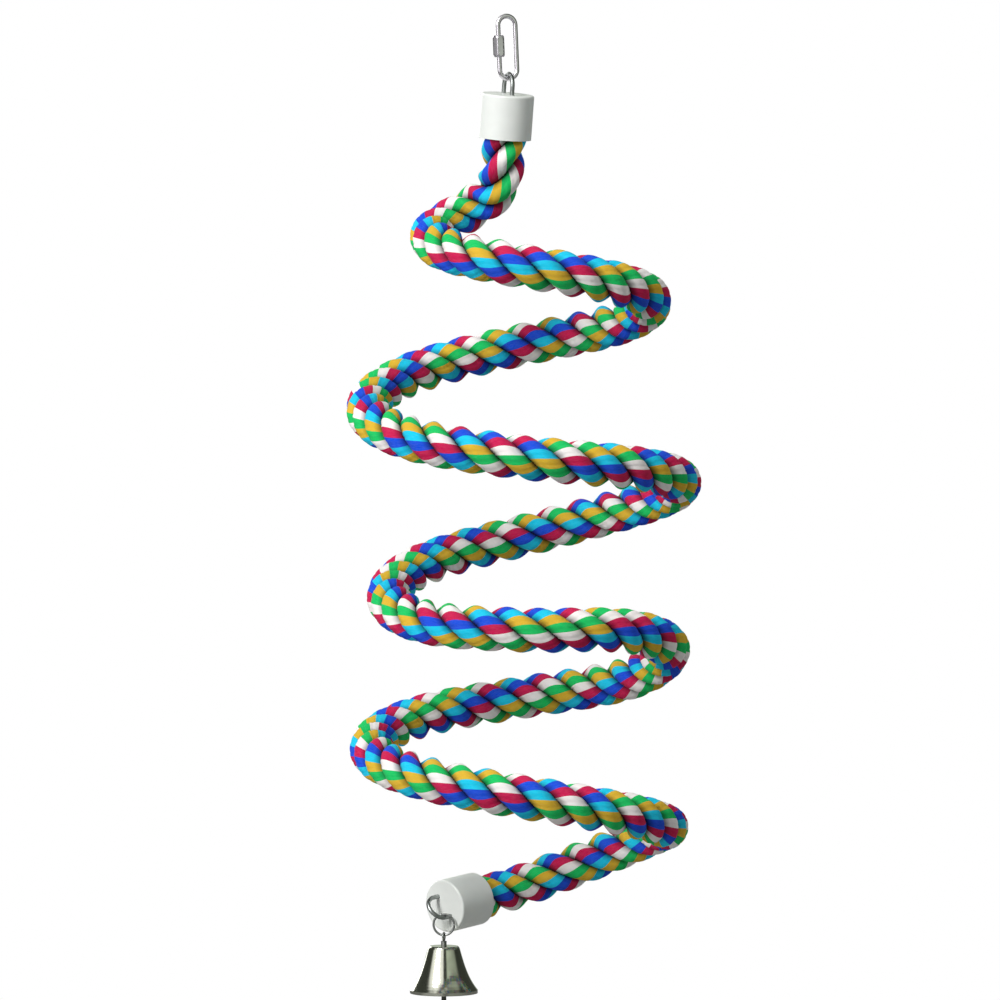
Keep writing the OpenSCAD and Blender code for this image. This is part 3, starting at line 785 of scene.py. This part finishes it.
class PERCH_OT_studio(bpy.types.Operator):
    """Sets up the camera, the white surroundings, the floor and the soft lamps"""

    bl_idname = "perch.studio"
    bl_label = "Studio"

    def execute(self, context):
        scene, settings = context.scene, context.scene.perch_studio
        scene.view_settings.view_transform = "Standard"
        aim = Vector((settings.aim_right, 0, settings.aim_height))
        self.camera(scene, settings, aim)
        self.surround(scene, settings)
        self.floor(scene, settings)
        for name, (place, size, mirrored) in LAMPS.items():
            lamp = self.lamp(scene, name + " lamp", place, size, aim)
            lamp.data.energy = getattr(settings, name + "_power")
            lamp.visible_glossy = mirrored
        return {"FINISHED"}

    def camera(self, scene, settings, aim):
        way_back = Vector((0, -math.cos(settings.elevation), math.sin(settings.elevation)))
        lens = bpy.data.cameras.new("camera")
        lens.lens, lens.sensor_width = settings.focal, 36
        lens.clip_start, lens.clip_end = 0.1, 50
        camera = bpy.data.objects.new("camera", lens)
        camera.location = aim + settings.distance * way_back
        camera.rotation_euler = (TURN / 4 - settings.elevation, 0, 0)
        scene.collection.objects.link(camera)
        scene.camera = camera

    def lamp(self, scene, name, place, size, aim):
        light = bpy.data.lights.new(name, "AREA")
        light.shape = "RECTANGLE"
        light.size, light.size_y = size
        lamp = bpy.data.objects.new(name, light)
        lamp.location = place
        lamp.rotation_euler = (aim - Vector(place)).to_track_quat("-Z", "Y").to_euler()
        scene.collection.objects.link(lamp)
        return lamp

    def surround(self, scene, settings):
        """White to the camera, panels to mirrors and a weak even light to all else."""
        world = bpy.data.worlds.new("white studio")
        world.use_nodes = True
        tree = world.node_tree
        scene.world = world
        ray = add(tree, "ShaderNodeLightPath").node.outputs
        seen = maths(tree, "MAXIMUM", ray["Is Camera Ray"], ray["Is Transmission Ray"])
        shade_light = times(settings.shade_tint, settings.ambient)
        around = mixed(tree, ray["Is Glossy Ray"], shade_light, panels(tree))
        background = tree.nodes["Background"]
        tree.links.new(mixed(tree, seen, around, WHITE), background.inputs["Color"])

    def floor(self, scene, settings):
        """A round floor, as white at its edge as the surroundings."""
        mesh = disc("floor", settings.floor_radius, settings.floor_height)
        floor = bpy.data.objects.new("floor", mesh)
        scene.collection.objects.link(floor)
        material, tree, shader = new_material("studio floor")
        place = object_place(tree)
        ray = add(tree, "ShaderNodeLightPath").node.outputs
        pale = mixed(tree, noise(tree, place, scale=40.0, detail=4.0), *FLOOR_SPECKS)
        unseen = maths(tree, "SUBTRACT", 1.0, ray["Is Camera Ray"])
        set_shader(tree, shader, Base_Color=mixed(tree, unseen, pale, FLOOR_UNSEEN),
                   Roughness=0.9, Specular_IOR_Level=0.1, Emission_Color=(*WHITE, 1),
                   Emission_Strength=maths(
                       tree, "MULTIPLY", ray["Is Camera Ray"], FLOOR_LIFT))
        reach = size_of(tree, vector_maths(tree, "MULTIPLY", place, (1, 1, 0)))
        fade = spread(tree, reach, times(FLOOR_FADE, settings.floor_radius), (0.0, 1.0),
                      interpolation_type="SMOOTHSTEP")
        seen = maths(tree, "MAXIMUM", ray["Is Camera Ray"],
                     maths(tree, "MULTIPLY", ray["Is Glossy Ray"], FLOOR_MIRRORED))
        glow = add(tree, "ShaderNodeEmission", {
            "Color": (*WHITE, 1),
            "Strength": maths(tree, "MAXIMUM", seen, settings.ambient)})
        blend = add(tree, "ShaderNodeMixShader", {0: fade, 1: shader.outputs[0], 2: glow})
        tree.links.new(blend, tree.nodes["Material Output"].inputs["Surface"])
        mesh.materials.append(material)


class PERCH_OT_rope(bpy.types.Operator):
    """Lays the rope's three strands along its way from cap to cap"""

    bl_idname = "perch.rope"
    bl_label = "Rope"

    def execute(self, context):
        route, rope = context.scene.perch_route, context.scene.perch_rope
        points, swell = rope_line(route, rope)
        line = line_object("rope_way", points, swell)
        material = cotton_material(rope)
        tree = strand_tree()
        for number, (start, twist, order) in enumerate(STRAND_YARNS):
            strand = baked("rope_strand_%d" % (number + 1), line, tree, {
                "Rope radius": rope.diameter / 2,
                "Core radius": rope.core_diameter / 2 + CORE_CLEARANCE,
                "Strand middle": rope.strand_middle,
                "Strand half width": rope.strand_half_width,
                "Strand gap": rope.strand_gap, "Lay": rope.lay,
                "Yarn twist": rope.yarn_twist * twist, "Yarn draw": rope.yarn_draw,
                "Band groove": rope.band_groove, "Bands": float(rope.bands),
                "Ring step": rope.ring_step, "Sides": STRAND_SIDES,
                "Lay phase": TURN * (LAY_START - number / len(STRAND_YARNS)),
                "Yarn phase": TURN * start, "Yarn order": float(order),
                "Material": material})
            bend_with_perch(strand)
            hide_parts("rope")
        bpy.data.objects.remove(line)
        return {"FINISHED"}


class PERCH_OT_core_wire(bpy.types.Operator):
    """Bends the wire inside the rope, with a hook round each eye's crossbar"""

    bl_idname = "perch.core_wire"
    bl_label = "Core wire"

    def execute(self, context):
        route, rope = context.scene.perch_route, context.scene.perch_rope
        line = line_object("core_way", core_line(route, rope))
        metal = metal_material("annealed wire", (0.22, 0.22, 0.22), roughness=0.45)
        wire = baked("core_wire_bent", line, wire_tree(), {
            "Radius": rope.core_diameter / 2, "Sides": WIRE_SIDES, "Material": metal})
        bpy.data.objects.remove(line)
        bend_with_perch(wire)
        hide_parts("core_wire")
        return {"FINISHED"}


class PERCH_OT_link(bpy.types.Operator):
    """Gives the link and its sleeve nut their bright zinc"""

    bl_idname = "perch.link"
    bl_label = "Link and nut"

    def execute(self, context):
        zinc = tuple(context.scene.perch_metals.zinc)
        # The nut's zinc is a darker copy of the link's zinc
        nut_darker_zinc = times(zinc, 0.92)
        finish_nodes(metal_material("bright zinc", zinc, roughness=0.16), "quick_link")
        finish_nodes(metal_material("nut zinc", nut_darker_zinc, roughness=0.16, soft_edge=0.0011),
                     "link_nut")
        return {"FINISHED"}


class PERCH_OT_eyes(bpy.types.Operator):
    """Gives both wire eyes their drawn steel"""

    bl_idname = "perch.eyes"
    bl_label = "Eyes"

    def execute(self, context):
        wire = tuple(context.scene.perch_metals.wire)
        finish_nodes(metal_material("drawn wire", wire, roughness=0.32),
                     "top_eye", "bottom_eye")
        return {"FINISHED"}


class PERCH_OT_caps(bpy.types.Operator):
    """Gives the caps their white plastic, and what is inside them its glue and tape"""

    bl_idname = "perch.caps"
    bl_label = "Caps"

    def execute(self, context):
        caps = context.scene.perch_caps
        for name, colour, roughness, speckle, piece in (
                ("white plastic", caps.plastic, caps.gloss, 0.012, "cap"),
                ("set glue", caps.glue, 0.45, 0.05, "glue"),
                ("tape", caps.tape, 0.6, 0.04, "binding")):
            finish_nodes(plastic_material(name, tuple(colour), roughness, speckle),
                         "top_" + piece, "bottom_" + piece)
        return {"FINISHED"}


class PERCH_OT_bell(bpy.types.Operator):
    """Finishes the ring, the bell, its hanger and washer, and the clapper"""

    bl_idname = "perch.bell"
    bl_label = "Ring and bell"

    def execute(self, context):
        metals = context.scene.perch_metals
        dark = tuple(metals.dark_wire)
        finish_nodes(metal_material("ring wire", dark, roughness=0.30), "jump_ring")
        finish_nodes(metal_material("hanger wire", dark, roughness=0.34), "bell_hanger")
        finish_nodes(metal_material("nickel", tuple(metals.nickel), roughness=0.11,
                                    grain=400.0, wear=0.04, tarnish=0.86), "bell_shell")
        finish_nodes(metal_material("washer steel", (0.5, 0.5, 0.5), roughness=0.3),
                     "bell_washer")
        finish_nodes(metal_material("clapper steel", tuple(metals.clapper), roughness=0.4),
                     "clapper")
        return {"FINISHED"}


class PERCH_PT_panel(bpy.types.Panel):
    """Lists the perch's pieces and their sizes"""

    bl_label = "Rope perch"
    bl_idname = "PERCH_PT_panel"
    bl_space_type = "VIEW_3D"
    bl_region_type = "UI"
    bl_category = "Perch"

    def draw(self, context):
        for group in GROUPS:
            box = self.layout.box()
            box.label(text=group)
            settings = getattr(context.scene, group)
            for name in settings.__annotations__:
                box.prop(settings, name)
        for operator in OPERATORS:
            self.layout.operator(operator.bl_idname)


GROUPS = {"perch_route": PerchRoute, "perch_rope": PerchRope, "perch_metals": PerchMetals,
          "perch_caps": PerchCaps, "perch_studio": PerchStudio}
OPERATORS = (PERCH_OT_studio, PERCH_OT_rope, PERCH_OT_core_wire, PERCH_OT_link, PERCH_OT_eyes,
             PERCH_OT_caps, PERCH_OT_bell)


def bend_with_perch(piece):
    """Bakes a piece's placement into its mesh."""
    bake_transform(piece)


def register():
    for group in GROUPS.values():
        bpy.utils.register_class(group)
    for name, group in GROUPS.items():
        setattr(bpy.types.Scene, name, bpy.props.PointerProperty(type=group))
    for made in (*OPERATORS, PERCH_PT_panel):
        bpy.utils.register_class(made)


def unregister():
    for made in (PERCH_PT_panel, *reversed(OPERATORS)):
        bpy.utils.unregister_class(made)
    for name, group in GROUPS.items():
        delattr(bpy.types.Scene, name)
        bpy.utils.unregister_class(group)


def main():
    register()
    for operator in OPERATORS:
        group, name = operator.bl_idname.split(".")
        getattr(getattr(bpy.ops, group), name)()


if __name__ == "__main__":
    main()
